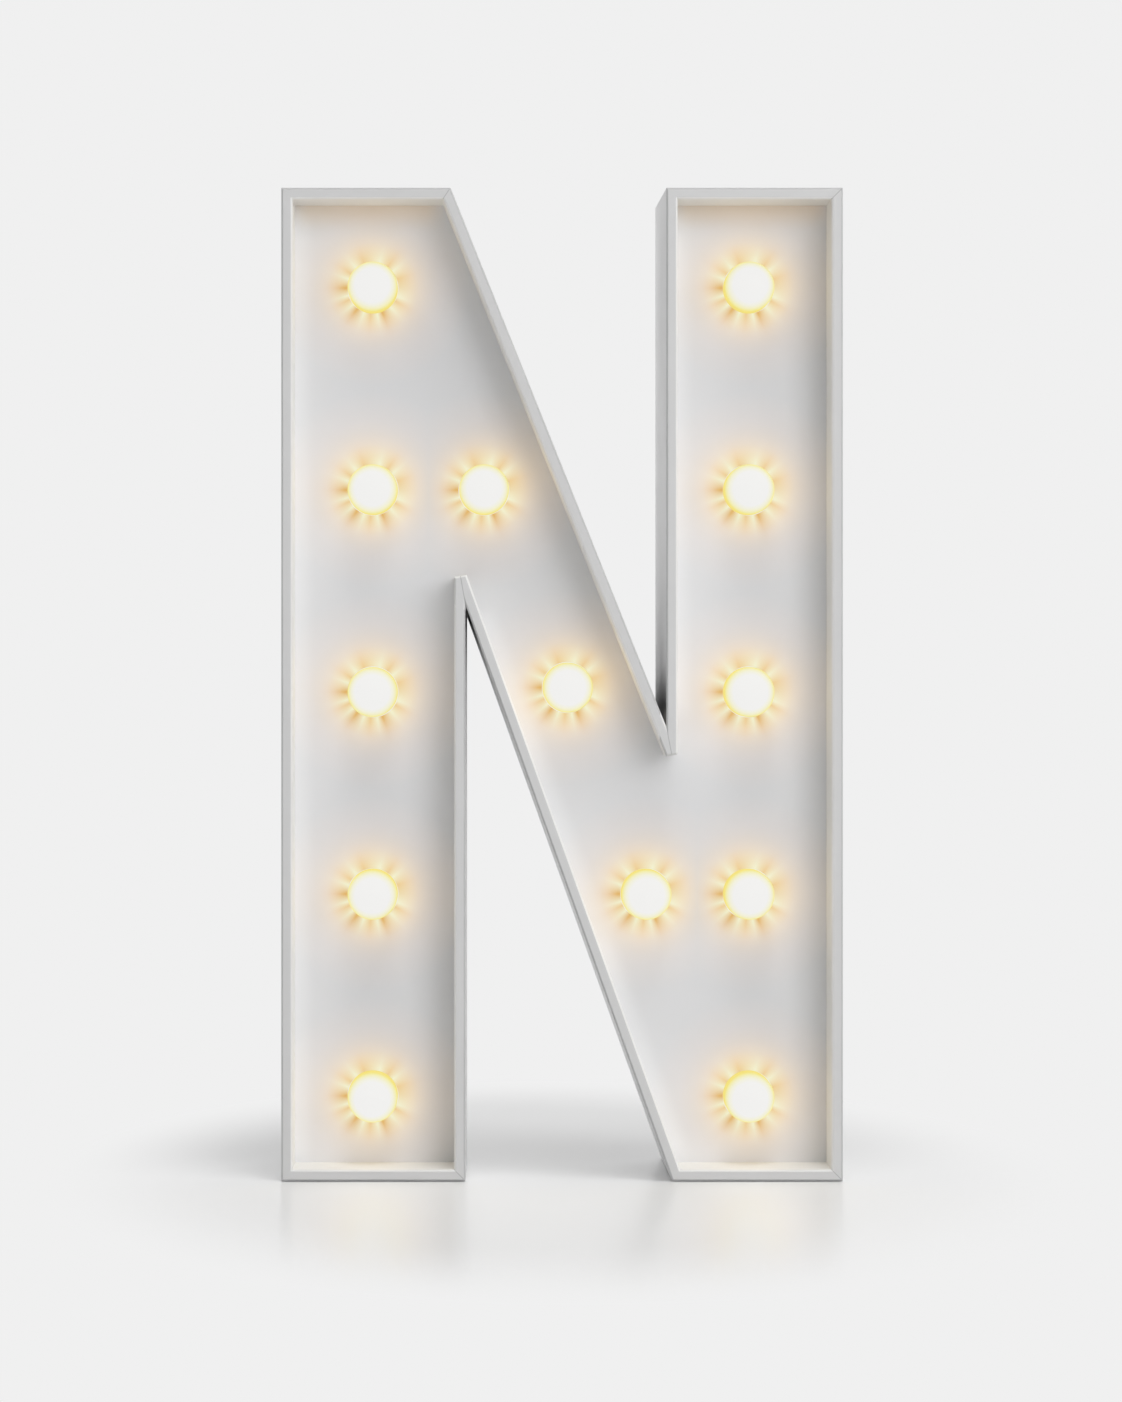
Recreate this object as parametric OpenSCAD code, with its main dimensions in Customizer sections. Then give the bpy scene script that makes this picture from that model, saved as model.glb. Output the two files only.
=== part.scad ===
// Light-up letter N: a white tray letter with round bulbs, run by two cells behind a door in its back.
// +Z is up, +X is right as seen from the front, and the front rim faces -Y.
// The origin is the middle of the footprint, on the surface that the letter stands on.

/* [View] */
// Sub-part to draw, or all

/* [Letter outline at the front rim] */
// Height of the letter
letter_h = 220; // [200:1:260]
// Width of the letter
letter_w = 124.4; // [116:0.2:150]
// Depth from the rim to the back edge
letter_depth = 45; // [41:0.5:60]
// Width of the left stem
left_stem_w = 40.8; // [39:0.2:45]
// Width of the right stem
right_stem_w = 39.1; // [36:0.1:43]
// Flat top of the left stem, up to the diagonal
top_flat_w = 37.5; // [35:0.1:41]
// Flat foot of the right stem, up to the diagonal
foot_flat_w = 37.8; // [35:0.1:41]
// Depth of the notch that opens at the top
upper_notch = 119.4; // [100:0.1:130]
// Height of the notch that opens at the bottom
lower_notch = 127.6; // [110:0.1:135]
// How far the outer wall leans out by the back edge
wall_lean = 0.4; // [0.1:0.1:0.8]

/* [Walls] */
// Width of the front rim
rim_w = 2.5; // [2.2:0.1:3.5]
// Wall behind the face panel
rear_wall = 1.8; // [1.4:0.1:2]
// Wall beside the back cover
cover_lip = 1; // [0.8:0.1:1.2]
// Chamfer on the outer edge of the rim
rim_outer_chamfer = 0.35; // [0.2:0.05:0.6]
// Chamfer on the inner edge of the rim
rim_inner_chamfer = 0.4; // [0.2:0.05:0.6]
// Blunt end of the walls at a notch, from the notch's corner
notch_tip = 4; // [3:0.1:6]
// Thickness of the face panel
panel_t = 2; // [1.5:0.1:2.5]

/* [Fits] */
// Gap round the edge of the panel and the cover
plate_gap = 0.15; // [0.1:0.05:0.3]
// Gap round a piece that is pushed into its place
push_gap = 0.2; // [0.15:0.05:0.3]
// Gap at a soldered or seated end
seat_gap = 0.1; // [0.05:0.05:0.15]
// Gap round the hinge pins
pin_gap = 0.1; // [0.05:0.01:0.1]
// Gap round the door
door_gap = 0.3; // [0.3:0.05:0.5]
// Gap round the slider
slider_gap = 0.4; // [0.3:0.05:0.5]

/* [Bulbs] */
// Diameter of a bulb cap
bulb_d = 11.2; // [10:0.2:12]
// Height of a bulb above the face
bulb_rise = 9; // [7:0.5:11]
// Wall of a bulb cap
bulb_wall = 1.1; // [0.9:0.1:1.4]
// Number of flutes inside a cap
bulb_flutes = 10; // [6:1:14]
// Radius of a flute
flute_r = 0.4; // [0.2:0.1:0.5]
// Flutes end below the top of a cap by
flute_end = 7.8; // [6:0.1:9]
// Lowest row of bulbs above the feet
row_low = 17.4; // [15:0.2:22]
// Highest row of bulbs below the top
row_high = 21; // [18:0.2:24]
// Bulb columns in from the sides of the letter
column_inset = 20; // [19:0.1:21]
// Highest bulb of the diagonal, left of the diagonal's middle by
diagonal_high_shift = 2.8; // [0:0.1:3]
// Middle bulb of the diagonal, left of the diagonal's middle by
diagonal_mid_shift = 0.9; // [0:0.1:3]
// Middle bulb of the diagonal, above its row by
diagonal_mid_rise = 1; // [0:0.1:2]
// Lowest bulb of the diagonal, left of the diagonal's middle by
diagonal_low_shift = 0.9; // [0:0.1:3]
// Flange of a cap behind the panel, wider than the cap by
flange_lip = 1.2; // [1:0.05:1.4]
// Thickness of that flange
flange_t = 1.2; // [1:0.1:1.5]

/* [LEDs and wires] */
// Diameter of an LED
led_d = 5; // [4.5:0.1:5.5]
// Straight part of an LED
led_body_h = 6; // [5:0.5:7]
// Foot of an LED, wider than it by
led_foot_lip = 0.4; // [0.3:0.05:0.5]
// Thickness of that foot
led_foot_t = 1; // [0.8:0.1:1.2]
// Radius of an LED leg
leg_r = 0.3; // [0.25:0.05:0.35]
// Pitch of the two legs
leg_pitch = 2.54; // [2.4:0.02:2.6]
// Legs past the wires
leg_stub = 0.2; // [0.1:0.05:0.4]
// Thickness of an LED holder
holder_t = 2.8; // [2.4:0.1:3]
// Wall of the collar round a holder
collar_wall = 1; // [0.8:0.05:1.2]
// Radius of the wires
wire_r = 0.6; // [0.5:0.05:0.7]
// Gap between the two layers of jumper wires
layer_gap = 0.4; // [0.3:0.05:0.5]
// Reach of the bends at the ends of the leads
lead_bend = 8; // [6:0.5:10]
// Room between the LED legs and the cell bay
wire_room = 1.05; // [0.8:0.05:3]

/* [Back cover] */
// Cover below the back edge
cover_recess = 1.5; // [1.3:0.1:2.5]
// Thickness of the cover
cover_t = 2; // [1.8:0.1:2.5]
// Radius of a screw boss
boss_r = 3.2; // [2.9:0.1:3.6]
// Bosses in from the sides of the letter
boss_inset = 6.1; // [5.8:0.1:7]
// Boss above the lower notch
low_notch_boss = 14; // [12:0.5:16]
// Boss below the upper notch
high_notch_boss = 16.5; // [15:0.5:18]
// Radius of a screw's shank
screw_r = 1.2; // [1:0.1:1.3]
// Length of a screw under its head
screw_l = 11; // [8:0.5:14]
// Radius of a screw's head
screw_head_r = 2.5; // [2.2:0.1:2.7]
// Height of a screw's head
screw_head_h = 1; // [0.8:0.1:1.2]
// Screw holes deeper than the screws by
screw_hole_extra = 1; // [0.5:0.1:2]
// Gap round a screw in the cover
screw_gap = 0.3; // [0.2:0.05:0.4]
// Width of the cross in a screw's head
cross_w = 0.6; // [0.5:0.05:0.8]
// Length of that cross
cross_l = 3.6; // [3:0.1:4]
// Depth of that cross
cross_depth = 0.6; // [0.4:0.05:0.7]
// Radius of the round part of a keyhole
keyhole_r = 4; // [3.5:0.1:5]
// Width of the slot of a keyhole
keyhole_slot_w = 4.2; // [3.5:0.1:4.6]
// Length of that slot
keyhole_slot_l = 8; // [6:0.5:10]

/* [Cell bay] */
// Diameter of a cell
cell_d = 14.5; // [13.5:0.1:14.5]
// Length of a cell, with its nub
cell_l = 50.5; // [48:0.1:51]
// Radius of a cell's nub
cell_nub_r = 2.75; // [2.5:0.05:3]
// Height of a cell's nub
cell_nub_h = 1; // [0.9:0.1:1.4]
// Gap beside a cell
cell_gap = 0.4; // [0.3:0.05:0.5]
// Gap between a cell and the bay's floor
cell_floor_gap = 0.25; // [0.15:0.05:0.4]
// Gap between a cell and the door's barrel
cell_door_gap = 0.4; // [0.3:0.05:0.7]
// Height of the bay above the feet
bay_z = 34; // [30:0.5:36]
// Side and end walls of the bay
bay_wall = 1.6; // [1.6:0.1:1.9]
// Floor of the bay
bay_floor_t = 1.25; // [1:0.05:1.5]
// Length of a spring under load
spring_l = 5.2; // [4.8:0.1:6]
// Turns of a spring
spring_turns = 4; // [3:1:4]
// Radius of the spring wire
spring_wire_r = 0.3; // [0.25:0.05:0.3]
// Radius of a spring at its plate
spring_wide_r = 4.6; // [4.2:0.1:4.8]
// Radius of a spring at its cell
spring_narrow_r = 3.2; // [3:0.1:3.6]
// Thickness of the contact plates
contact_t = 0.4; // [0.3:0.05:0.5]
// Width of a contact plate
contact_w = 10; // [9.8:0.1:11]
// Height of a contact plate
contact_h = 11; // [10:0.1:11.5]
// Height of the dimple on a positive plate
dimple_h = 0.5; // [0.4:0.05:0.7]
// Radius of that dimple
dimple_r = 2.5; // [2:0.1:2.7]
// Width of a solder tab
tab_w = 3; // [2.5:0.1:3.5]
// Length of a solder tab past the bay
tab_l = 2.8; // [2:0.1:4]
// Solder tabs below the middle of a cell
tab_drop = 4; // [3:0.1:5]

/* [Door] */
// Radius of the hinge barrel
barrel_r = 1.45; // [1.4:0.05:1.6]
// Barrel below the outside of the door
barrel_drop = 0.05; // [0.05:0.01:0.1]
// Radius of the hinge pins
pin_r = 1; // [0.8:0.05:1]
// Length of a hinge pin
pin_l = 1; // [0.8:0.1:1.1]
// Width of the latch tongue
tongue_w = 8; // [6:0.5:10]
// Length of the latch tongue
tongue_l = 10; // [8:0.5:14]
// Width of the slots beside the tongue
tongue_slot = 1; // [0.8:0.1:1.4]
// Reach of the tongue's nose into the bay
nose_reach = 1.5; // [1:0.1:1.8]
// Height of that nose
nose_h = 1.1; // [0.8:0.1:1.2]
// Height of the thumb ridges
ridge_h = 0.6; // [0.4:0.05:0.8]
// Width of the thumb ridges
ridge_w = 0.9; // [0.7:0.1:1.1]
// Pitch of the thumb ridges
ridge_pitch = 2; // [1.8:0.1:2.4]
// Radius of the finger scoop in the cover
scoop_r = 5.6; // [5:0.1:7]
// Depth of that scoop
scoop_depth = 1; // [0.6:0.1:1.2]

/* [Slide switch] */
// Switch above the bay
switch_rise = 17.4; // [15:0.2:20]
// Travel of the slider
switch_travel = 3.4; // [3:0.1:4]
// Length of the switch body
switch_l = 13; // [12.6:0.1:14]
// Width of the switch body
switch_w = 6.2; // [6:0.1:6.8]
// Depth of the switch body
switch_h = 5.6; // [5.2:0.1:6.2]
// Wall of the switch body
switch_shell = 0.8; // [0.6:0.05:0.9]
// Length of an ear
ear_l = 4; // [4:0.1:5]
// Thickness of the ears
ear_t = 0.6; // [0.5:0.05:0.8]
// Radius of a stake that holds an ear
stake_r = 0.9; // [0.8:0.05:1]
// Radius of a stake's head
stake_head_r = 1.6; // [1.4:0.05:1.8]
// Height of a stake's head
stake_head_h = 1; // [0.8:0.1:1.2]
// Length of the slider's base
slider_base_l = 5.5; // [4.6:0.1:6]
// Height of the slider's base
slider_base_h = 2.6; // [2:0.1:3]
// Length of the slider's knob
knob_l = 3.6; // [3:0.1:4]
// Width of the slider's knob
knob_w = 2.8; // [2.4:0.1:3]
// Knob below the back edge
knob_drop = 0.5; // [0.3:0.1:0.8]
// Pitch of the terminals
terminal_pitch = 3; // [2.8:0.1:3.6]
// Length of a terminal
terminal_l = 3.5; // [3:0.1:4]
// Width of a terminal
terminal_w = 1; // [0.8:0.1:1.2]
// Thickness of a terminal
terminal_t = 0.4; // [0.3:0.05:0.5]
// Radius of the resistor
resistor_r = 1.15; // [1:0.05:1.3]
// Length of the resistor's body
resistor_l = 6.2; // [5:0.1:7]
// Length of each of its wires
resistor_wire = 6.4; // [5:0.1:8]

/* [Hidden] */
$fn = 64;
// Cuts run past the faces that they open by this
over = 1;

y_front = -letter_depth/2;
y_back = letter_depth/2;
y_cover_out = y_back - cover_recess;
y_cover_in = y_cover_out - cover_t;

left_x = -letter_w/2;
right_x = letter_w/2;
left_stem_x = left_x + left_stem_w;
right_stem_x = right_x - right_stem_w;
top_flat_x = left_x + top_flat_w;
foot_flat_x = right_x - foot_flat_w;

// The letter's ten corners, clockwise from the top left as seen from the front
LETTER = [
    [left_x, letter_h],
    [top_flat_x, letter_h],
    [right_stem_x, letter_h - upper_notch],
    [right_stem_x, letter_h],
    [right_x, letter_h],
    [right_x, 0],
    [foot_flat_x, 0],
    [left_stem_x, lower_notch],
    [left_stem_x, 0],
    [left_x, 0]
];
CORNERS = len(LETTER);
// Edges that stand on the floor, which don't lean
FEET = [5, 8];
// Corners at the ends of the notches
NOTCHES = [2, 7];
// Left stem, diagonal and right stem as faces, each fanned from a notch corner
CAP_FACES = [[7, 8, 9, 0, 1], [1, 2, 6, 7], [2, 3, 4, 5, 6]];
// The same for the inner outlines, which have two points at the blunt end of each notch
INNER_FACES = [[9, 10, 11, 0, 1], [8, 9, 1], [1, 2, 7, 8], [2, 3, 7], [3, 4, 5, 6, 7]];
// A blunt end stays within this share of the sharp end's reach
TIP_LIMIT = 0.9;
// The rim's inner chamfer is cut from this far in front of the rim
lead_in = 0.2;

// Depths from the back cover inwards: the cells lie below the door's barrel, over the LED legs
cell_r = cell_d/2;
hinge_y = y_cover_out - barrel_r - barrel_drop;
y_cell = hinge_y - barrel_r - cell_door_gap - cell_r;
y_bay_floor = y_cell - cell_r - cell_floor_gap;
y_bay_under = y_bay_floor - bay_floor_t;
y_leg_end = y_bay_under - wire_room;
y_high_wire = y_leg_end - leg_stub - wire_r;
y_low_wire = y_high_wire - 2*wire_r - layer_gap;
y_holder_rear = y_low_wire - wire_r - seat_gap;
y_led = y_holder_rear - seat_gap;
y_holder = y_holder_rear - holder_t;
y_panel_rear = y_holder - flange_t;
y_panel = y_panel_rear - panel_t;

bulb_r = bulb_d/2;
flange_r = bulb_r + flange_lip;
collar_in_r = flange_r + push_gap;
collar_r = collar_in_r + collar_wall;
led_r = led_d/2;
led_foot_r = led_r + led_foot_lip;

row_pitch = (letter_h - row_low - row_high)/4;
column_x = [left_x + column_inset, right_x - column_inset];
DIAGONAL_HIGH = [diagonal_x(row_z(3)) - diagonal_high_shift, row_z(3)];
diagonal_mid_z = row_z(2) + diagonal_mid_rise;
DIAGONAL_MID = [diagonal_x(diagonal_mid_z) - diagonal_mid_shift, diagonal_mid_z];
DIAGONAL_LOW = [diagonal_x(row_z(1)) - diagonal_low_shift, row_z(1)];
// Bulbs in the order that the wires follow: up the left stem, down the diagonal, up the right stem
BULBS = [
    for (i = [0:4]) [column_x[0], row_z(i)],
    DIAGONAL_HIGH,
    DIAGONAL_MID,
    DIAGONAL_LOW,
    for (i = [0:4]) [column_x[1], row_z(i)]
];
BULB_COUNT = len(BULBS);

BOSSES = [
    [left_x + boss_inset, letter_h - boss_inset],
    [left_x + boss_inset, boss_inset],
    [left_stem_x - boss_inset, boss_inset],
    [left_stem_x - boss_inset, lower_notch + low_notch_boss],
    [right_stem_x + boss_inset, letter_h - upper_notch - high_notch_boss],
    [right_stem_x + boss_inset, letter_h - boss_inset],
    [right_x - boss_inset, letter_h - boss_inset],
    [right_x - boss_inset, boss_inset]
];
y_screw_top = y_cover_out - seat_gap;
y_screw_seat = y_screw_top - screw_head_h;
keyhole_z = (row_z(3) + row_z(4) - keyhole_slot_l)/2;

bay_x = left_x + left_stem_w/2;
bay_half_w = cell_d + 2*cell_gap;
bay_l = cell_l + spring_l + 2*contact_t + dimple_h;
bay_top = bay_z + bay_l;
cell_x = cell_r + cell_gap;
y_tab = y_cell - tab_drop;
z_tab_end = bay_top + bay_wall + tab_l;

door_half_w = bay_half_w - door_gap;
door_z = bay_z + door_gap;
hinge_z = bay_top - door_gap - barrel_r;

switch_x = bay_x;
switch_z = bay_top + bay_wall + switch_rise;
y_ear = y_cover_in - ear_t;
y_switch = y_ear - switch_h;
y_terminal = y_switch - terminal_l;
ear_hole_x = (switch_l + ear_l)/2;
slider_half_l = (knob_l + switch_travel)/2 + slider_gap;
slider_half_w = knob_w/2 + slider_gap;
resistor_x = switch_x + terminal_pitch;
y_resistor = y_terminal - leg_r - seat_gap;
resistor_z = switch_z - terminal_t;
resistor_top = resistor_z + resistor_l + 2*resistor_wire;

SHELL_WHITE = [0.9, 0.9, 0.9];
BULB_WARM = [1, 0.95, 0.75];
CONTACT_METAL = [0.75, 0.72, 0.6];
STEEL = [0.7, 0.7, 0.72];
WIRE_RED = [0.75, 0.1, 0.08];
WIRE_BLACK = [0.06, 0.06, 0.06];

function row_z(i) = row_low + i*row_pitch;

// X of the diagonal's middle at height z, between its upper and its lower edge
function diagonal_x(z) =
    let (upper_x = top_flat_x + (right_stem_x - top_flat_x)*(letter_h - z)/upper_notch)
    let (lower_x = foot_flat_x + (left_stem_x - foot_flat_x)*z/lower_notch)
    (upper_x + lower_x)/2;

// Direction of the edge that starts at corner i
function edge_way(i) =
    let (d = LETTER[(i + 1) % CORNERS] - LETTER[i])
    d/norm(d);

// Inward normal of that edge
function edge_normal(i) = [edge_way(i).y, -edge_way(i).x];

// Corner i after the edges before and after it move in by d0 and d1
function moved_corner(i, d0, d1) =
    let (n0 = edge_normal((i + CORNERS - 1) % CORNERS))
    let (n1 = edge_normal(i))
    let (det = n0.x*n1.y - n0.y*n1.x)
    LETTER[i] + [d0*n1.y - d1*n0.y, d1*n0.x - d0*n1.x]/det;

function edge_inset(i, d, foot) = len(search(i, FEET)) > 0 ? foot : d;

// The letter's outline moved in by d, with its feet moved in by foot
function outline(d, foot) = [
    for (i = [0:CORNERS - 1])
        moved_corner(i, edge_inset((i + CORNERS - 1) % CORNERS, d, foot), edge_inset(i, d, foot))
];

function even_outline(d) = outline(d, d);

// The two points at a notch's blunt end, for the outline moved in by d
function blunt_corner(i, d) =
    let (tip = moved_corner(i, d, d) - LETTER[i])
    let (cut = norm(tip) - min(notch_tip + d, TIP_LIMIT*norm(tip)))
    let (way = tip/norm(tip))
    [for (e = [edge_way((i + CORNERS - 1) % CORNERS), edge_way(i)]) LETTER[i] + tip - e*cut/(e*way)];

// The outline moved in by d, with its notches ending blunt
function inner_outline(d) = [
    for (i = [0:CORNERS - 1])
        each len(search(i, NOTCHES)) > 0 ? blunt_corner(i, d) : [moved_corner(i, d, d)]
];

function bezier(a, b, c, d, t) = a*(1 - t)^3 + 3*b*t*(1 - t)^2 + 3*c*t^2*(1 - t) + d*t^3;

// Conical spring, t from 0 at its plate to 1 at its cell
function spring_point(t) =
    let (r = spring_wide_r + (spring_narrow_r - spring_wide_r)*t)
    let (rest = spring_wire_r + seat_gap/2)
    let (turn = 360*spring_turns*t)
    [r*cos(turn), r*sin(turn), rest + (spring_l - 2*rest)*t];

// Points in a turn of a spring, and in all
TURN_STEPS = 16;
SPRING_STEPS = TURN_STEPS*spring_turns;
SPRING = [for (i = [0:SPRING_STEPS]) spring_point(i/SPRING_STEPS)];
SPRING_SPANS = [
    for (i = [0:SPRING_STEPS]) for (j = [i + TURN_STEPS/2 + 1:1:SPRING_STEPS]) norm(SPRING[i] - SPRING[j])
];
echo(spring_gap = min(SPRING_SPANS) - 2*spring_wire_r);

// A drawing in the letter's plane, made solid from depth y0 to depth y1
module slab(y0, y1) {
    translate([0, y1, 0])
        rotate([90, 0, 0])
            linear_extrude(y1 - y0) children();
}

// A round bar or hole along the depth
module rod(x, z, y0, y1, r) {
    translate([x, y1, z])
        rotate([90, 0, 0])
            cylinder(h = y1 - y0, r = r);
}

module box(x0, x1, y0, y1, z0, z1) {
    translate([x0, y0, z0])
        cube([x1 - x0, y1 - y0, z1 - z0]);
}

// Solid through letter outlines at given depths, front to back, with the faces that close its ends
module loft(layers, caps) {
    last = len(layers) - 1;
    n = len(layers[0][1]);
    points = [for (layer = layers) for (p = layer[1]) [p.x, layer[0], p.y]];
    sides = [
        for (k = [0:last - 1]) for (i = [0:n - 1])
            let (a = k*n + i)
            let (b = k*n + (i + 1) % n)
            [a, a + n, b + n, b]
    ];
    back = [for (face = caps) [for (i = [len(face) - 1:-1:0]) last*n + face[i]]];
    polyhedron(points, concat(caps, sides, back));
}

// Round wire along a path that nowhere runs along the vector side
module tube(path, r, side, facets = 8) {
    last = len(path) - 1;
    points = [
        for (k = [0:last])
            let (t = path[min(k + 1, last)] - path[max(k - 1, 0)])
            let (u = cross(t, side)/norm(cross(t, side)))
            let (v = cross(t, u)/norm(cross(t, u)))
            for (j = [0:facets - 1]) path[k] + r*(u*cos(360*j/facets) + v*sin(360*j/facets))
    ];
    walls = [
        for (k = [0:last - 1]) for (j = [0:facets - 1])
            let (a = k*facets + j)
            let (b = k*facets + (j + 1) % facets)
            each [[a, a + facets, b + facets], [a, b + facets, b]]
    ];
    start = [for (j = [0:facets - 1]) j];
    end = [for (j = [facets - 1:-1:0]) last*facets + j];
    polyhedron(points, concat([start], walls, [end]));
}

// Lead from a to b that leaves along va and arrives along vb
module lead(a, va, b, vb) {
    steps = 12;
    tube([for (i = [0:steps]) bezier(a, a + va, b - vb, b, i/steps)], wire_r, [1, 0, 0]);
}

// Moves a piece to bulb i at depth y, with its own +Z towards the front
module at_bulb(i, y) {
    translate([BULBS[i].x, y, BULBS[i].y])
        rotate([90, 0, 0]) children();
}

// Half section of a round-nosed cylinder
module nose_section(r, h) {
    square([r, h]);
    translate([0, h])
        intersection() {
            circle(r);
            square(r);
        }
}

module outer_frame() {
    shell = [
        [y_front, even_outline(rim_outer_chamfer)],
        [y_front + rim_outer_chamfer, even_outline(0)],
        [y_back, outline(-wall_lean, 0)]
    ];
    tray = [
        [y_front - lead_in, inner_outline(rim_w - rim_inner_chamfer - lead_in)],
        [y_front + rim_inner_chamfer, inner_outline(rim_w)],
        [y_panel + over, inner_outline(rim_w)]
    ];
    color(SHELL_WHITE)
        difference() {
            loft(shell, CAP_FACES);
            loft(tray, INNER_FACES);
            slab(y_panel, y_cover_in + over) polygon(inner_outline(rear_wall));
            slab(y_cover_in, y_back + over) polygon(inner_outline(cover_lip));
        }
}

module face_panel() {
    screw_hole_end = y_screw_seat - screw_l - screw_hole_extra;
    y_root = y_panel_rear - panel_t/2;
    color(SHELL_WHITE)
        difference() {
            union() {
                slab(y_panel, y_panel_rear) polygon(inner_outline(rear_wall + plate_gap));
                for (b = BULBS) rod(b.x, b.y, y_root, y_holder_rear, collar_r);
                for (b = BOSSES) rod(b.x, b.y, y_root, y_cover_in, boss_r);
            }
            for (b = BULBS) {
                rod(b.x, b.y, y_panel_rear, y_holder_rear + over, collar_in_r);
                rod(b.x, b.y, y_panel - over, y_panel_rear + over, bulb_r + plate_gap);
            }
            for (b = BOSSES) rod(b.x, b.y, screw_hole_end, y_cover_in + over, screw_r + seat_gap);
        }
}

module bulb(i) {
    straight = flange_t + panel_t + bulb_rise - bulb_r;
    inner_r = bulb_r - bulb_wall;
    flute_l = straight + bulb_r - flute_end;
    color(BULB_WARM)
        at_bulb(i, y_holder)
            difference() {
                rotate_extrude()
                    difference() {
                        union() {
                            nose_section(bulb_r, straight);
                            square([flange_r, flange_t]);
                        }
                        translate([0, -over]) nose_section(inner_r, straight + over);
                    }
                for (k = [0:bulb_flutes - 1])
                    rotate(360*k/bulb_flutes)
                        translate([inner_r, 0, -over]) cylinder(h = flute_l + over, r = flute_r);
            }
}

module led(i) {
    leg_l = y_leg_end - y_led;
    color(BULB_WARM)
        at_bulb(i, y_led) {
            rotate_extrude()
                union() {
                    nose_section(led_r, led_body_h);
                    square([led_foot_r, led_foot_t]);
                }
            for (side = [-1, 1])
                translate([side*leg_pitch/2, 0, -leg_l]) cylinder(h = leg_l + led_foot_t/2, r = leg_r);
        }
}

module led_holders() {
    foot_depth = led_foot_t + 2*seat_gap;
    color(SHELL_WHITE)
        for (i = [0:BULB_COUNT - 1])
            at_bulb(i, y_holder_rear)
                difference() {
                    cylinder(h = holder_t, r = flange_r);
                    translate([0, 0, -over]) cylinder(h = holder_t + 2*over, r = led_r + push_gap);
                    translate([0, 0, -over]) cylinder(h = foot_depth + over, r = led_foot_r + push_gap);
                }
}

// Straight wires from each LED's leg to the same leg of the next LED, in two layers by turns
module jumper_wires(side) {
    trim = leg_r + seat_gap/2;
    for (i = [0:BULB_COUNT - 2]) {
        run = BULBS[i + 1] - BULBS[i];
        y = i % 2 == 0 ? y_low_wire : y_high_wire;
        translate([BULBS[i].x + side*leg_pitch/2, y, BULBS[i].y])
            rotate([0, atan2(run.x, run.y), 0])
                translate([0, 0, trim]) cylinder(h = norm(run) - 2*trim, r = wire_r);
    }
}

module jumper_wires_red() {
    color(WIRE_RED) jumper_wires(1);
}

module jumper_wires_black() {
    color(WIRE_BLACK) jumper_wires(-1);
}

module keyhole(x) {
    y0 = y_cover_in - over;
    y1 = y_cover_out + over;
    half_w = keyhole_slot_w/2;
    slot_end = keyhole_z + keyhole_slot_l;
    rod(x, keyhole_z, y0, y1, keyhole_r);
    rod(x, slot_end, y0, y1, half_w);
    box(x - half_w, x + half_w, y0, y1, keyhole_z, slot_end);
}

// Cell bay behind the cover, before it is hollowed
module bay_block() {
    half_w = bay_half_w + bay_wall;
    box(bay_x - half_w, bay_x + half_w, y_bay_under, y_cover_in + cover_t/2,
        bay_z - bay_wall, bay_top + bay_wall);
}

module bay_hollow() {
    box(bay_x - bay_half_w, bay_x + bay_half_w, y_bay_floor, y_cover_out + over, bay_z, bay_top);
    translate([bay_x, hinge_y, hinge_z])
        rotate([0, 90, 0])
            cylinder(h = 2*(door_half_w + pin_l + push_gap), r = pin_r + pin_gap, center = true);
    for (side = [-1, 1]) {
        x = bay_x + side*cell_x;
        half_w = tab_w/2 + push_gap;
        half_t = contact_t/2 + push_gap;
        box(x - half_w, x + half_w, y_tab - half_t, y_tab + half_t,
            bay_top - over, bay_top + bay_wall + over);
    }
}

// Stakes through the switch's ears, with their heads formed over
module switch_stakes() {
    for (side = [-1, 1]) {
        x = switch_x + side*ear_hole_x;
        rod(x, switch_z, y_ear - stake_head_h, y_cover_in + cover_t/2, stake_r);
        rod(x, switch_z, y_ear - stake_head_h, y_ear, stake_head_r);
    }
}

module back_cover() {
    y0 = y_cover_in - over;
    y1 = y_cover_out + over;
    color(SHELL_WHITE)
        difference() {
            union() {
                slab(y_cover_in, y_cover_out) polygon(inner_outline(cover_lip + plate_gap));
                bay_block();
                switch_stakes();
            }
            bay_hollow();
            rod(bay_x, bay_z, y_cover_out - scoop_depth, y1, scoop_r);
            box(switch_x - slider_half_l, switch_x + slider_half_l, y0, y1,
                switch_z - slider_half_w, switch_z + slider_half_w);
            for (x = column_x) keyhole(x);
            for (b = BOSSES) {
                rod(b.x, b.y, y0, y1, screw_r + screw_gap);
                rod(b.x, b.y, y_screw_seat, y1, screw_head_r + screw_gap);
            }
        }
}

module cover_screws() {
    color(STEEL)
        for (b = BOSSES)
            difference() {
                union() {
                    rod(b.x, b.y, y_screw_seat - screw_l, y_screw_top - screw_head_h/2, screw_r);
                    rod(b.x, b.y, y_screw_seat, y_screw_top, screw_head_r);
                }
                for (turn = [0, 90])
                    translate([b.x, y_screw_top, b.y])
                        rotate([0, turn, 0]) cube([cross_l, 2*cross_depth, cross_w], center = true);
            }
}

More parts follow.
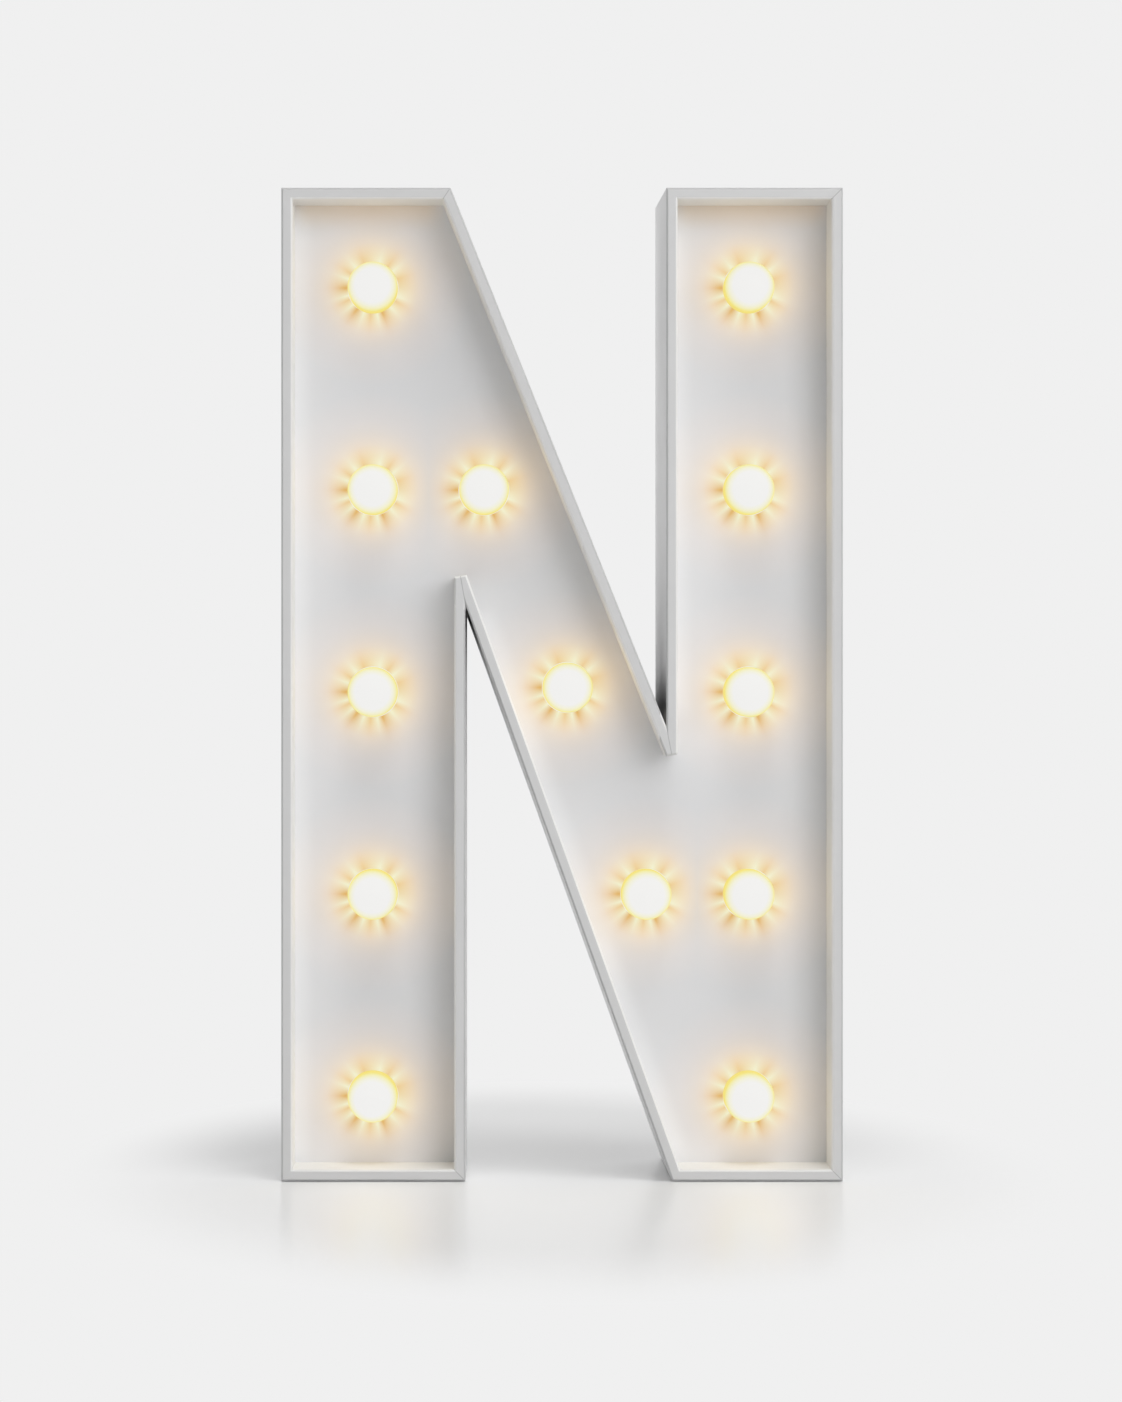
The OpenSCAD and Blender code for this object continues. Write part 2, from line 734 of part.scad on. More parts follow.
module battery_door() {
    half_w = door_half_w;
    half_tongue = tongue_w/2;
    color(SHELL_WHITE)
        difference() {
            union() {
                box(bay_x - half_w, bay_x + half_w, y_cover_in, y_cover_out, door_z, hinge_z);
                translate([bay_x, hinge_y, hinge_z])
                    rotate([0, 90, 0]) {
                        cylinder(h = 2*half_w, r = barrel_r, center = true);
                        cylinder(h = 2*(half_w + pin_l), r = pin_r, center = true);
                    }
                box(bay_x - half_tongue, bay_x + half_tongue, y_cover_in - nose_reach, y_cover_in + cover_t/2,
                    door_z, door_z + nose_h);
                for (k = [1:3]) {
                    z = door_z + k*ridge_pitch;
                    box(bay_x - half_tongue + ridge_w, bay_x + half_tongue - ridge_w, y_cover_in + cover_t/2,
                        y_cover_out + ridge_h, z, z + ridge_w);
                }
            }
            for (side = [-1, 1]) {
                x = bay_x + side*(half_tongue + tongue_slot/2);
                box(x - tongue_slot/2, x + tongue_slot/2, y_cover_in - over, y_cover_out + over,
                    door_z - over, door_z + tongue_l);
            }
        }
}

// AA cell along Z, with its negative end at height 0
module cell() {
    color(WIRE_BLACK) {
        cylinder(h = cell_l - cell_nub_h, r = cell_r);
        cylinder(h = cell_l, r = cell_nub_r);
    }
}

module battery_cell_a() {
    translate([bay_x + cell_x, y_cell, bay_top - contact_t - dimple_h - cell_l]) cell();
}

module battery_cell_b() {
    translate([bay_x - cell_x, y_cell, bay_z + contact_t + dimple_h + cell_l])
        rotate([180, 0, 0]) cell();
}

// Contact plate at the top of the bay, with a solder tab out through the bay's wall
module top_contact(x) {
    half_w = contact_w/2;
    z = bay_top - contact_t;
    box(x - half_w, x + half_w, y_cell - contact_h/2, y_cell + contact_h/2, z, bay_top);
    box(x - tab_w/2, x + tab_w/2, y_tab - contact_t/2, y_tab + contact_t/2, z + contact_t/2, z_tab_end);
}

module contact_positive() {
    x = bay_x + cell_x;
    color(CONTACT_METAL) {
        top_contact(x);
        translate([x, y_cell, bay_top - contact_t - dimple_h])
            cylinder(h = dimple_h + contact_t/2, r = dimple_r);
    }
}

module contact_negative() {
    color(CONTACT_METAL) top_contact(bay_x - cell_x);
}

module contact_link() {
    half_w = cell_x + contact_w/2;
    color(CONTACT_METAL) {
        box(bay_x - half_w, bay_x + half_w, y_cell - contact_h/2, y_cell + contact_h/2,
            bay_z, bay_z + contact_t);
        translate([bay_x - cell_x, y_cell, bay_z + contact_t/2])
            cylinder(h = dimple_h + contact_t/2, r = dimple_r);
    }
}

module spring() {
    color(STEEL) tube(SPRING, spring_wire_r, [0, 0, 1]);
}

module contact_spring_a() {
    translate([bay_x + cell_x, y_cell, bay_z + contact_t]) spring();
}

module contact_spring_b() {
    translate([bay_x - cell_x, y_cell, bay_top - contact_t])
        rotate([180, 0, 0]) spring();
}

module switch_housing() {
    half_l = switch_l/2;
    half_w = switch_w/2;
    hollow_l = half_l - switch_shell;
    hollow_w = half_w - switch_shell;
    color(STEEL)
        translate([switch_x, 0, switch_z])
            difference() {
                union() {
                    box(-half_l, half_l, y_switch, y_cover_in, -half_w, half_w);
                    box(-half_l - ear_l, half_l + ear_l, y_ear, y_cover_in, -half_w, half_w);
                }
                box(-hollow_l, hollow_l, y_switch + switch_shell, y_ear, -hollow_w, hollow_w);
                box(-slider_half_l, slider_half_l, y_ear - over, y_cover_in + over,
                    -slider_half_w, slider_half_w);
                for (side = [-1, 1])
                    rod(side*ear_hole_x, 0, y_ear - over, y_cover_in + over, stake_r + push_gap);
            }
}

// Drawn switched on, at the right end of its slot as seen from the front
module switch_slider() {
    base_half_w = switch_w/2 - switch_shell - slider_gap;
    y_base = y_ear - push_gap;
    color(WIRE_BLACK)
        translate([switch_x + switch_travel/2, 0, switch_z]) {
            box(-slider_base_l/2, slider_base_l/2, y_base - slider_base_h, y_base, -base_half_w, base_half_w);
            box(-knob_l/2, knob_l/2, y_base - slider_base_h/2, y_back - knob_drop, -knob_w/2, knob_w/2);
        }
}

module switch_terminals() {
    color(CONTACT_METAL)
        for (k = [-1:1]) {
            x = switch_x + k*terminal_pitch;
            box(x - terminal_w/2, x + terminal_w/2, y_terminal, y_switch,
                switch_z - terminal_t/2, switch_z + terminal_t/2);
        }
}

module resistor() {
    color(CONTACT_METAL)
        translate([resistor_x, y_resistor, resistor_z]) {
            cylinder(h = resistor_top - resistor_z, r = leg_r);
            translate([0, 0, resistor_wire]) cylinder(h = resistor_l, r = resistor_r);
        }
}

// From the positive tab to the middle terminal of the switch
module lead_battery_red() {
    start = [bay_x + cell_x, y_tab, z_tab_end + seat_gap];
    end = [switch_x, y_terminal - seat_gap, switch_z];
    color(WIRE_RED) lead(start, [0, 0, lead_bend], end, [0, lead_bend, 0]);
}

// From the resistor to the red leg of the fourth LED
module lead_resistor_red() {
    start = [resistor_x, y_resistor, resistor_top + seat_gap];
    end = [BULBS[3].x + leg_pitch/2, y_leg_end + seat_gap, BULBS[3].y];
    color(WIRE_RED) lead(start, [0, 0, lead_bend], end, [0, -lead_bend, 0]);
}

// From the negative tab to the black leg of the third LED
module lead_battery_black() {
    start = [bay_x - cell_x, y_tab, z_tab_end + seat_gap];
    end = [BULBS[2].x - leg_pitch/2, y_leg_end + seat_gap, BULBS[2].y];
    color(WIRE_BLACK) lead(start, [0, 0, lead_bend], end, [0, -lead_bend, 0]);
}

outer_frame();
face_panel();
back_cover();
battery_door();
for (i = [0:BULB_COUNT - 1]) {
    bulb(i);
    led(i);
}
led_holders();
jumper_wires_red();
jumper_wires_black();
cover_screws();
battery_cell_a();
battery_cell_b();
contact_positive();
contact_negative();
contact_link();
contact_spring_a();
contact_spring_b();
switch_housing();
switch_slider();
switch_terminals();
resistor();
lead_battery_red();
lead_resistor_red();
lead_battery_black();
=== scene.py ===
"""Looks of the light-up letter N: camera, light, floor and a material for every piece."""

import math

import bpy
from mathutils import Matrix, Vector


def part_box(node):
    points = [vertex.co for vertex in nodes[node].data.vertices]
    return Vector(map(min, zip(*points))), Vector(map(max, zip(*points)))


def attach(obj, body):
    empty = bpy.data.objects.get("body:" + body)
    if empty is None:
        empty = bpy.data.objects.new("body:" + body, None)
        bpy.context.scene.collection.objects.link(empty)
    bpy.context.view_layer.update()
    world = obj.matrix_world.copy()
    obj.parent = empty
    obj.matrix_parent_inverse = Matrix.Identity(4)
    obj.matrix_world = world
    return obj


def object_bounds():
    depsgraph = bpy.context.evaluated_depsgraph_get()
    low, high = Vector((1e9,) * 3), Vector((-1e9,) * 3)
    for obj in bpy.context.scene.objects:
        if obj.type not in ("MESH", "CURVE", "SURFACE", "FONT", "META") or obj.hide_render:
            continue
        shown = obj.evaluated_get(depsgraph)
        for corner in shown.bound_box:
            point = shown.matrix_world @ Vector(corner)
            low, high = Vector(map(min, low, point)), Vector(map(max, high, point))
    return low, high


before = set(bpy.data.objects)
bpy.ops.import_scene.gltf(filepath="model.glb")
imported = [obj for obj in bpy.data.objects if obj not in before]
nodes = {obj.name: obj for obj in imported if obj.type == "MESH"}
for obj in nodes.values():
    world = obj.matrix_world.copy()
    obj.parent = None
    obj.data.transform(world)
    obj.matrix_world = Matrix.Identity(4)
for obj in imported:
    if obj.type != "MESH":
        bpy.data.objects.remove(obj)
cad_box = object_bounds()

MM = 0.001
BLACK = (0.0, 0.0, 0.0, 1.0)
WHITE = (1.0, 1.0, 1.0, 1.0)
BULB_COUNT = 13
bulb_names = [f"bulb_{i + 1}" for i in range(BULB_COUNT)]
led_names = [f"led_{i + 1}" for i in range(BULB_COUNT)]
bulb_centres = []
for bulb_name in bulb_names:
    bulb_low, bulb_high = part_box(bulb_name)
    bulb_centres.append(((bulb_low.x + bulb_high.x) / 2, 0.0, (bulb_low.z + bulb_high.z) / 2))

# Camera, in the photo's pixels and in metres
PHOTO_W = 1122
PHOTO_H = 1402
SENSOR = 36.0
FOCAL_PX = 4168.0
AXIS_PX = (465.0, 661.7)
EYE = (-0.0215, -0.9455, 0.115)
CLIP_START = 0.01

# Tones, as linear values
BACKDROP = 0.871
FLOOR = 0.84
SHELL = (0.79, 0.79, 0.79)
# The rim's front face: the same plastic as the shell, painted darker as shade
RIM_PAINTED_SHADE = (0.67, 0.67, 0.67)
PANEL = (0.772, 0.776, 0.795)

# Light: the level all round, then each soft lamp's place, size and power
AMBIENT = 0.265
LAMPS = {
    "key": ((0.40, -1.02, 0.46), 0.65, 3.7),
    "side": ((1.1, -0.7, 0.5), 0.6, 1.9),
    "top": ((0.1, -0.3, 1.3), 0.5, 5.6),
    "back": ((0.35, 1.05, 0.55), 0.9, 2.8),
    "back_left": ((-1.05, 0.4, 0.2), 0.6, 2.6),
}
CENTRE = (0.0, 0.0, 0.11)

# The rim's outer corners in millimetres, clockwise from the top left
LETTER = [
    (-62.2, 220.0), (-24.7, 220.0), (23.1, 100.6), (23.1, 220.0), (62.2, 220.0),
    (62.2, 0.0), (24.4, 0.0), (-21.4, 127.6), (-21.4, 0.0), (-62.2, 0.0),
]
# The corners at the notches' tips, with the way along z in which each notch opens
NOTCHES = {2: 1.0, 7: -1.0}
# The rim's width and the length of the seam at a notch, in millimetres
RIM_W = 2.5
NOTCH_SEAM = 6.5

# Finishes: where a noise turns from low to high, then the scales of noise and how far each one shows
NOISE_TURN = (0.3, 0.7)
FLOW_SCALE = 45.0
FLOW_GLOSS = 0.05
GRAIN_SCALE = 2600.0
GRAIN_H = 0.1 * MM
BLOTCH_SCALE = 160.0
BLOTCH_TONES = (0.86, 1.08)
STREAK_GLOSS = (-0.08, 0.1)
STREAK_BUMP = 0.12
STREAK_H = 0.05 * MM
BAND_GRAIN_SCALE = 900.0
BAND_SPECK = 0.12
BAND_GLOSS = 0.06

# Rounding: what is merged, what counts as flat, which edges are hard, and in how many steps they turn
WELD_R = 0.001 * MM
FLAT_ANGLE = math.radians(0.5)
HARD_ANGLE = math.radians(35.0)
EDGE_STEPS = 2


def set_socket(tree, socket, value):
    """Links a node's output to a socket, or sets the socket to a constant."""
    if isinstance(value, bpy.types.NodeSocket):
        tree.links.new(value, socket)
    else:
        socket.default_value = value


def math_node(tree, operation, a, b=0.0, c=0.0, clamp=False):
    node = tree.nodes.new("ShaderNodeMath")
    node.operation = operation
    node.use_clamp = clamp
    for socket, value in zip(node.inputs, (a, b, c)):
        set_socket(tree, socket, value)
    return node.outputs[0]


def vector_node(tree, operation, a, b=(0.0, 0.0, 0.0)):
    node = tree.nodes.new("ShaderNodeVectorMath")
    node.operation = operation
    set_socket(tree, node.inputs[0], a)
    set_socket(tree, node.inputs[1], b)
    return node.outputs["Value"] if operation in ("LENGTH", "DOT_PRODUCT") else node.outputs[0]


def map_range(tree, value, low, high, to_low=0.0, to_high=1.0, smooth=True):
    node = tree.nodes.new("ShaderNodeMapRange")
    node.interpolation_type = "SMOOTHSTEP" if smooth else "LINEAR"
    set_socket(tree, node.inputs["Value"], value)
    ends = {"From Min": low, "From Max": high, "To Min": to_low, "To Max": to_high}
    for name, end in ends.items():
        set_socket(tree, node.inputs[name], end)
    return node.outputs[0]


def mix_color(tree, factor, a, b):
    """Mixes two colours. The node's sockets 0, 6 and 7 are the factor and the colours."""
    node = tree.nodes.new("ShaderNodeMix")
    node.data_type = "RGBA"
    set_socket(tree, node.inputs[0], factor)
    set_socket(tree, node.inputs[6], a)
    set_socket(tree, node.inputs[7], b)
    return node.outputs[2]


def ramp(tree, factor, stops, interpolation="LINEAR"):
    """Colours, or levels of grey, along a factor from 0 to 1."""
    node = tree.nodes.new("ShaderNodeValToRGB")
    node.color_ramp.interpolation = interpolation
    elements = node.color_ramp.elements
    while len(elements) < len(stops):
        elements.new(1.0)
    for element, (place, value) in zip(elements, stops):
        element.position = place
        element.color = (value, value, value, 1.0) if isinstance(value, float) else (*value[:3], 1.0)
    set_socket(tree, node.inputs[0], factor)
    return node.outputs[0]


def shade(color, factor):
    return (*[min(1.0, c * factor) for c in color[:3]], 1.0)


def position(tree):
    """The point's place in the part's own frame."""
    return tree.nodes.new("ShaderNodeTexCoord").outputs["Object"]


def split(tree, vector):
    node = tree.nodes.new("ShaderNodeSeparateXYZ")
    tree.links.new(vector, node.inputs[0])
    return node.outputs


def noise(tree, place, scale, detail=3.0):
    node = tree.nodes.new("ShaderNodeTexNoise")
    set_socket(tree, node.inputs["Vector"], place)
    node.inputs["Scale"].default_value = scale
    node.inputs["Detail"].default_value = detail
    return node.outputs["Fac"]


def bump(tree, height, strength, distance):
    node = tree.nodes.new("ShaderNodeBump")
    node.inputs["Strength"].default_value = strength
    node.inputs["Distance"].default_value = distance
    set_socket(tree, node.inputs["Height"], height)
    return node.outputs[0]


def new_material(name):
    material = bpy.data.materials.new(name)
    material.use_nodes = True
    tree = material.node_tree
    bsdf = next(n for n in tree.nodes if n.type == "BSDF_PRINCIPLED")
    return material, tree, bsdf


def dress(names, material):
    for name in names:
        slots = nodes[name].data.materials
        slots.clear()
        slots.append(material)


def soften(name, width):
    """Rounds a piece's hard edges a little."""
    node = nodes[name]
    node.modifiers.new("weld", "WELD").merge_threshold = WELD_R
    flat = node.modifiers.new("flat", "DECIMATE")
    flat.decimate_type = "DISSOLVE"
    flat.angle_limit = FLAT_ANGLE
    edge = node.modifiers.new("edge", "BEVEL")
    edge.width = width
    edge.segments = EDGE_STEPS
    edge.limit_method = "ANGLE"
    edge.angle_limit = HARD_ANGLE
    edge.harden_normals = True
    node.modifiers.new("join", "WELD").merge_threshold = WELD_R


def linked(bsdf, name):
    """What is linked to a socket of a shader."""
    return bsdf.inputs[name].links[0].from_socket


def plastic(name, color, roughness, grain=0.05, tint=0.03):
    """Moulded plastic: a fine grain, faint flow marks and a gloss that varies a little."""
    material, tree, bsdf = new_material(name)
    place = position(tree)
    cloud = noise(tree, place, FLOW_SCALE, 4.0)
    fine = noise(tree, place, GRAIN_SCALE, 2.0)
    body = mix_color(tree, cloud, shade(color, 1.0 - tint), shade(color, 1.0 + tint))
    set_socket(tree, bsdf.inputs["Base Color"], body)
    gloss = map_range(tree, cloud, *NOISE_TURN, roughness - FLOW_GLOSS, roughness + FLOW_GLOSS)
    set_socket(tree, bsdf.inputs["Roughness"], gloss)
    set_socket(tree, bsdf.inputs["Normal"], bump(tree, fine, grain, GRAIN_H))
    return material, tree, bsdf


def metal(name, color, roughness, stretch):
    """Plated metal with drawn streaks along one direction."""
    material, tree, bsdf = new_material(name)
    place = position(tree)
    streak = noise(tree, vector_node(tree, "MULTIPLY", place, stretch), 1.0, 4.0)
    blotch = noise(tree, place, BLOTCH_SCALE)
    dull, bright = [shade(color, tone) for tone in BLOTCH_TONES]
    set_socket(tree, bsdf.inputs["Base Color"], mix_color(tree, blotch, dull, bright))
    smooth, rough = [roughness + change for change in STREAK_GLOSS]
    set_socket(tree, bsdf.inputs["Roughness"], map_range(tree, streak, *NOISE_TURN, smooth, rough))
    set_socket(tree, bsdf.inputs["Normal"], bump(tree, streak, STREAK_BUMP, STREAK_H))
    bsdf.inputs["Metallic"].default_value = 1.0
    return material, tree, bsdf


def banded(name, node, color_stops, metal_stops, roughness, turned=False):
    """A small upright piece with bands of colour and bare metal along its height."""
    material, tree, bsdf = new_material(name)
    low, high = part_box(node)
    ends = (1.0, 0.0) if turned else (0.0, 1.0)
    place = position(tree)
    height = map_range(tree, split(tree, place)[2], low.z, high.z, *ends, smooth=False)
    grain = noise(tree, place, BAND_GRAIN_SCALE)
    color = ramp(tree, height, color_stops, "CONSTANT")
    speck = map_range(tree, grain, *NOISE_TURN, 0.0, BAND_SPECK)
    set_socket(tree, bsdf.inputs["Base Color"], mix_color(tree, speck, color, BLACK))
    set_socket(tree, bsdf.inputs["Metallic"], ramp(tree, height, metal_stops, "CONSTANT"))
    gloss = map_range(tree, grain, *NOISE_TURN, roughness - BAND_GLOSS, roughness + BAND_GLOSS)
    set_socket(tree, bsdf.inputs["Roughness"], gloss)
    dress([node], material)


# Camera
camera_data = bpy.data.cameras.new("camera")
camera_data.sensor_width = SENSOR
camera_data.lens = FOCAL_PX / PHOTO_H * SENSOR
camera_data.shift_x = (PHOTO_W / 2 - AXIS_PX[0]) / PHOTO_H
camera_data.shift_y = (AXIS_PX[1] - PHOTO_H / 2) / PHOTO_H
camera_data.clip_start = CLIP_START
camera = bpy.data.objects.new("camera", camera_data)
camera.location = EYE
camera.rotation_euler = (math.pi / 2, 0, 0)
bpy.context.scene.collection.objects.link(camera)
bpy.context.scene.camera = camera
bpy.context.scene.view_settings.view_transform = "Standard"


# World: the backdrop's tone where it is seen or reflected, softer light elsewhere
world = bpy.data.worlds.new("world")
bpy.context.scene.world = world
world.use_nodes = True
wt = world.node_tree
wt.nodes.clear()
path = wt.nodes.new("ShaderNodeLightPath")
seen = math_node(wt, "MAXIMUM", path.outputs["Is Camera Ray"], path.outputs["Is Glossy Ray"])
seen = math_node(wt, "MAXIMUM", seen, path.outputs["Is Transmission Ray"])
ambient = wt.nodes.new("ShaderNodeBackground")
ambient.inputs["Color"].default_value = WHITE
ambient.inputs["Strength"].default_value = AMBIENT
backdrop = wt.nodes.new("ShaderNodeBackground")
backdrop.inputs["Color"].default_value = (BACKDROP, BACKDROP, BACKDROP, 1.0)
backdrop.inputs["Strength"].default_value = 1.0
world_mix = wt.nodes.new("ShaderNodeMixShader")
world_out = wt.nodes.new("ShaderNodeOutputWorld")
wt.links.new(seen, world_mix.inputs[0])
wt.links.new(ambient.outputs[0], world_mix.inputs[1])
wt.links.new(backdrop.outputs[0], world_mix.inputs[2])
wt.links.new(world_mix.outputs[0], world_out.inputs[0])

for lamp_name, (lamp_place, lamp_size, lamp_power) in LAMPS.items():
    lamp_data = bpy.data.lights.new(lamp_name, "AREA")
    lamp_data.shape = "DISK"
    lamp_data.size = lamp_size
    lamp_data.energy = lamp_power
    lamp = bpy.data.objects.new(lamp_name, lamp_data)
    lamp.location = lamp_place
    lamp.visible_glossy = False
    lamp.rotation_euler = (Vector(CENTRE) - Vector(lamp_place)).to_track_quat("-Z", "Y").to_euler()
    bpy.context.scene.collection.objects.link(lamp)


# Floor: takes the letter's shadow and a blurred reflection, and fades into the backdrop.
# The lift is light that is added to it, and the pool is the bulbs' light before each stem.
FLOOR_HALF = 3.0
FLOOR_DROP = 0.2 * MM
FRONT_LIFT = 0.06
BACK_LIFT = 0.04
LIFT_TURN = (-0.03, 0.06)
FLOOR_SHINE = 0.3
FLOOR_ROUGHNESS = 0.22
FADE_REACH = (0.115, 0.2)
FADE_START = 0.6
POOL_HALF_W = 12.0 * MM
POOL_REACH = 0.2
POOL = (0.15, 0.147, 0.138, 1.0)
floor_mesh = bpy.data.meshes.new("floor")
floor_mesh.from_pydata(
    [(x * FLOOR_HALF, y * FLOOR_HALF, -FLOOR_DROP) for x, y in ((-1, -1), (1, -1), (1, 1), (-1, 1))],
    [], [(0, 1, 2, 3)])
floor = bpy.data.objects.new("floor", floor_mesh)
bpy.context.scene.collection.objects.link(floor)
floor_material = bpy.data.materials.new("floor")
floor_material.use_nodes = True
ft = floor_material.node_tree
ft.nodes.clear()
floor_path = ft.nodes.new("ShaderNodeLightPath")
floor_rays = [floor_path.outputs[name] for name in ("Is Camera Ray", "Is Glossy Ray")]
floor_seen = math_node(ft, "MAXIMUM", *floor_rays)
reach = vector_node(ft, "LENGTH", vector_node(ft, "DIVIDE", position(ft), (*FADE_REACH, 1.0)))
fade = math_node(ft, "MULTIPLY", map_range(ft, reach, FADE_START, 1.0), floor_seen)
floor_matte = ft.nodes.new("ShaderNodeBsdfDiffuse")
floor_matte.inputs["Color"].default_value = (FLOOR, FLOOR, FLOOR, 1.0)
floor_gloss = ft.nodes.new("ShaderNodeBsdfGlossy")
floor_gloss.inputs["Color"].default_value = WHITE
floor_gloss.inputs["Roughness"].default_value = FLOOR_ROUGHNESS
floor_plain = ft.nodes.new("ShaderNodeEmission")
floor_plain.inputs["Color"].default_value = (BACKDROP, BACKDROP, BACKDROP, 1.0)
floor_x, floor_y, _ = split(ft, position(ft))
pool_x = math_node(ft, "SUBTRACT", math_node(ft, "ABSOLUTE", floor_x), bulb_centres[-1][0])
pool_x = math_node(ft, "POWER", math_node(ft, "DIVIDE", pool_x, POOL_HALF_W), 2.0)
pool = math_node(ft, "EXPONENT", math_node(ft, "MULTIPLY", pool_x, -1.0))
pool = math_node(ft, "MULTIPLY", pool, map_range(ft, floor_y, cad_box[0].y - POOL_REACH, cad_box[0].y))
pool = math_node(ft, "MULTIPLY", pool, math_node(ft, "LESS_THAN", floor_y, cad_box[0].y))
floor_lift = ft.nodes.new("ShaderNodeEmission")
lift = map_range(ft, floor_y, *LIFT_TURN, FRONT_LIFT, BACK_LIFT)
set_socket(ft, floor_lift.inputs["Color"], mix_color(ft, pool, lift, POOL))
set_socket(ft, floor_lift.inputs["Strength"], floor_seen)
floor_body = ft.nodes.new("ShaderNodeMixShader")
floor_body.inputs[0].default_value = FLOOR_SHINE
ft.links.new(floor_matte.outputs[0], floor_body.inputs[1])
ft.links.new(floor_gloss.outputs[0], floor_body.inputs[2])
floor_lifted = ft.nodes.new("ShaderNodeAddShader")
ft.links.new(floor_body.outputs[0], floor_lifted.inputs[0])
ft.links.new(floor_lift.outputs[0], floor_lifted.inputs[1])
floor_mix = ft.nodes.new("ShaderNodeMixShader")
ft.links.new(fade, floor_mix.inputs[0])
ft.links.new(floor_lifted.outputs[0], floor_mix.inputs[1])
ft.links.new(floor_plain.outputs[0], floor_mix.inputs[2])
ft.links.new(floor_mix.outputs[0], ft.nodes.new("ShaderNodeOutputMaterial").inputs[0])
floor_mesh.materials.append(floor_material)


# Bulbs: a white crown, with yellow where the cap turns in to its base
BULB_GLOW = [
    (0.0, (0.80, 0.66, 0.15)),
    (0.2, (0.83, 0.75, 0.24)),
    (0.34, (0.835, 0.79, 0.38)),
    (0.59, (0.84, 0.83, 0.68)),
    (0.76, (0.835, 0.835, 0.83)),
]
BULB_GRAIN_SCALE = 500.0
BULB_GRAIN = 0.06
BULB_BODY = (0.05, 0.045, 0.035, 1.0)
BULB_GLOSS = (0.5, 0.65)
BULB_SPECULAR = 0.1
bulb_material, bt, bulb_bsdf = new_material("bulb_frost")
facing = math_node(bt, "ABSOLUTE", split(bt, bt.nodes.new("ShaderNodeNewGeometry").outputs["Normal"])[1])
bulb_grain = noise(bt, position(bt), BULB_GRAIN_SCALE, 2.0)
glow = ramp(bt, math_node(bt, "MULTIPLY_ADD", bulb_grain, BULB_GRAIN, facing), BULB_GLOW)
bulb_bsdf.inputs["Base Color"].default_value = BULB_BODY
set_socket(bt, bulb_bsdf.inputs["Roughness"], map_range(bt, bulb_grain, *NOISE_TURN, *BULB_GLOSS))
bulb_bsdf.inputs["Specular IOR Level"].default_value = BULB_SPECULAR
set_socket(bt, bulb_bsdf.inputs["Emission Color"], glow)
bulb_bsdf.inputs["Emission Strength"].default_value = 1.0
dress(bulb_names, bulb_material)


def flat_position(tree):
    """The point's place in the plane of the letter."""
    return vector_node(tree, "MULTIPLY", position(tree), (1.0, 0.0, 1.0))


def from_nearest_bulb(tree):
    """The way to the point from the axis of the nearest bulb, and how far that is."""
    place = flat_position(tree)
    nearest = vector_node(tree, "SUBTRACT", place, bulb_centres[0])
    nearest_r = vector_node(tree, "LENGTH", nearest)
    for centre in bulb_centres[1:]:
        offset = vector_node(tree, "SUBTRACT", place, centre)
        offset_r = vector_node(tree, "LENGTH", offset)
        pick = tree.nodes.new("ShaderNodeMix")
        pick.data_type = "VECTOR"
        set_socket(tree, pick.inputs[0], math_node(tree, "LESS_THAN", offset_r, nearest_r))
        set_socket(tree, pick.inputs[4], nearest)
        set_socket(tree, pick.inputs[5], offset)
        nearest = pick.outputs[1]
        nearest_r = math_node(tree, "MINIMUM", nearest_r, offset_r)
    return nearest, nearest_r


# Face panel: white, with the light of each bulb falling on it in rays, by their angles in degrees
PALE_RAYS = (40, 75, 130, 160, 197, 220, 250, 280, 313, 340)
WARM_RAYS = (20, 55, 110, 147, 206, 265, 330)
DEEP_RAYS = (180, 233, 291)
RAY_PALE = (0.87, 0.855, 0.62)
RAY_WARM = (0.82, 0.59, 0.27)
RAY_DEEP = (0.73, 0.42, 0.10)
RAYS = ((PALE_RAYS, RAY_PALE), (WARM_RAYS, RAY_WARM), (DEEP_RAYS, RAY_DEEP))
HALO = (0.825, 0.69, 0.42)
FAR_HALO = (1.0, 0.38, 0.03)
HALO_REACH = 22.0 * MM
# How the near and the far halo fade, with distances as shares of HALO_REACH
NEAR_FADE = [
    (0.0, 1.0), (0.27, 0.98), (0.32, 0.8), (0.40, 0.46),
    (0.47, 0.2), (0.53, 0.11), (0.62, 0.04), (0.7, 0.0),
]
FAR_FADE = [
    (0.0, 0.22), (0.32, 0.22), (0.40, 0.19), (0.46, 0.14), (0.56, 0.085),
    (0.62, 0.065), (0.75, 0.037), (0.9, 0.015), (1.0, 0.0),
]
# Where the rays fade into the halo, and the share of them that is left after that
RAY_FADE = (6.5 * MM, 12.0 * MM)
RAY_LEFT = 0.15
# How deep the front of the panel reaches that takes this light
FACE_DEPTH = 0.2 * MM
# Edges, by their first corner, whose inner walls face the key lamp and light a strip of the face
LIT_EDGES = (2, 6, 9)
STRIP = 0.075
STRIP_REACH = 5.0 * MM
STRIP_END = 6.0 * MM
# Edges under which the face lies in a brown shadow
TOP_EDGES = (0, 3)
WARM_REACH = 6.5 * MM
WARM_TINT = (1.0, 0.94, 0.80)
WARM_LIGHT = (1.0, 0.32, 0.21)
WARM_LEVEL = 0.056


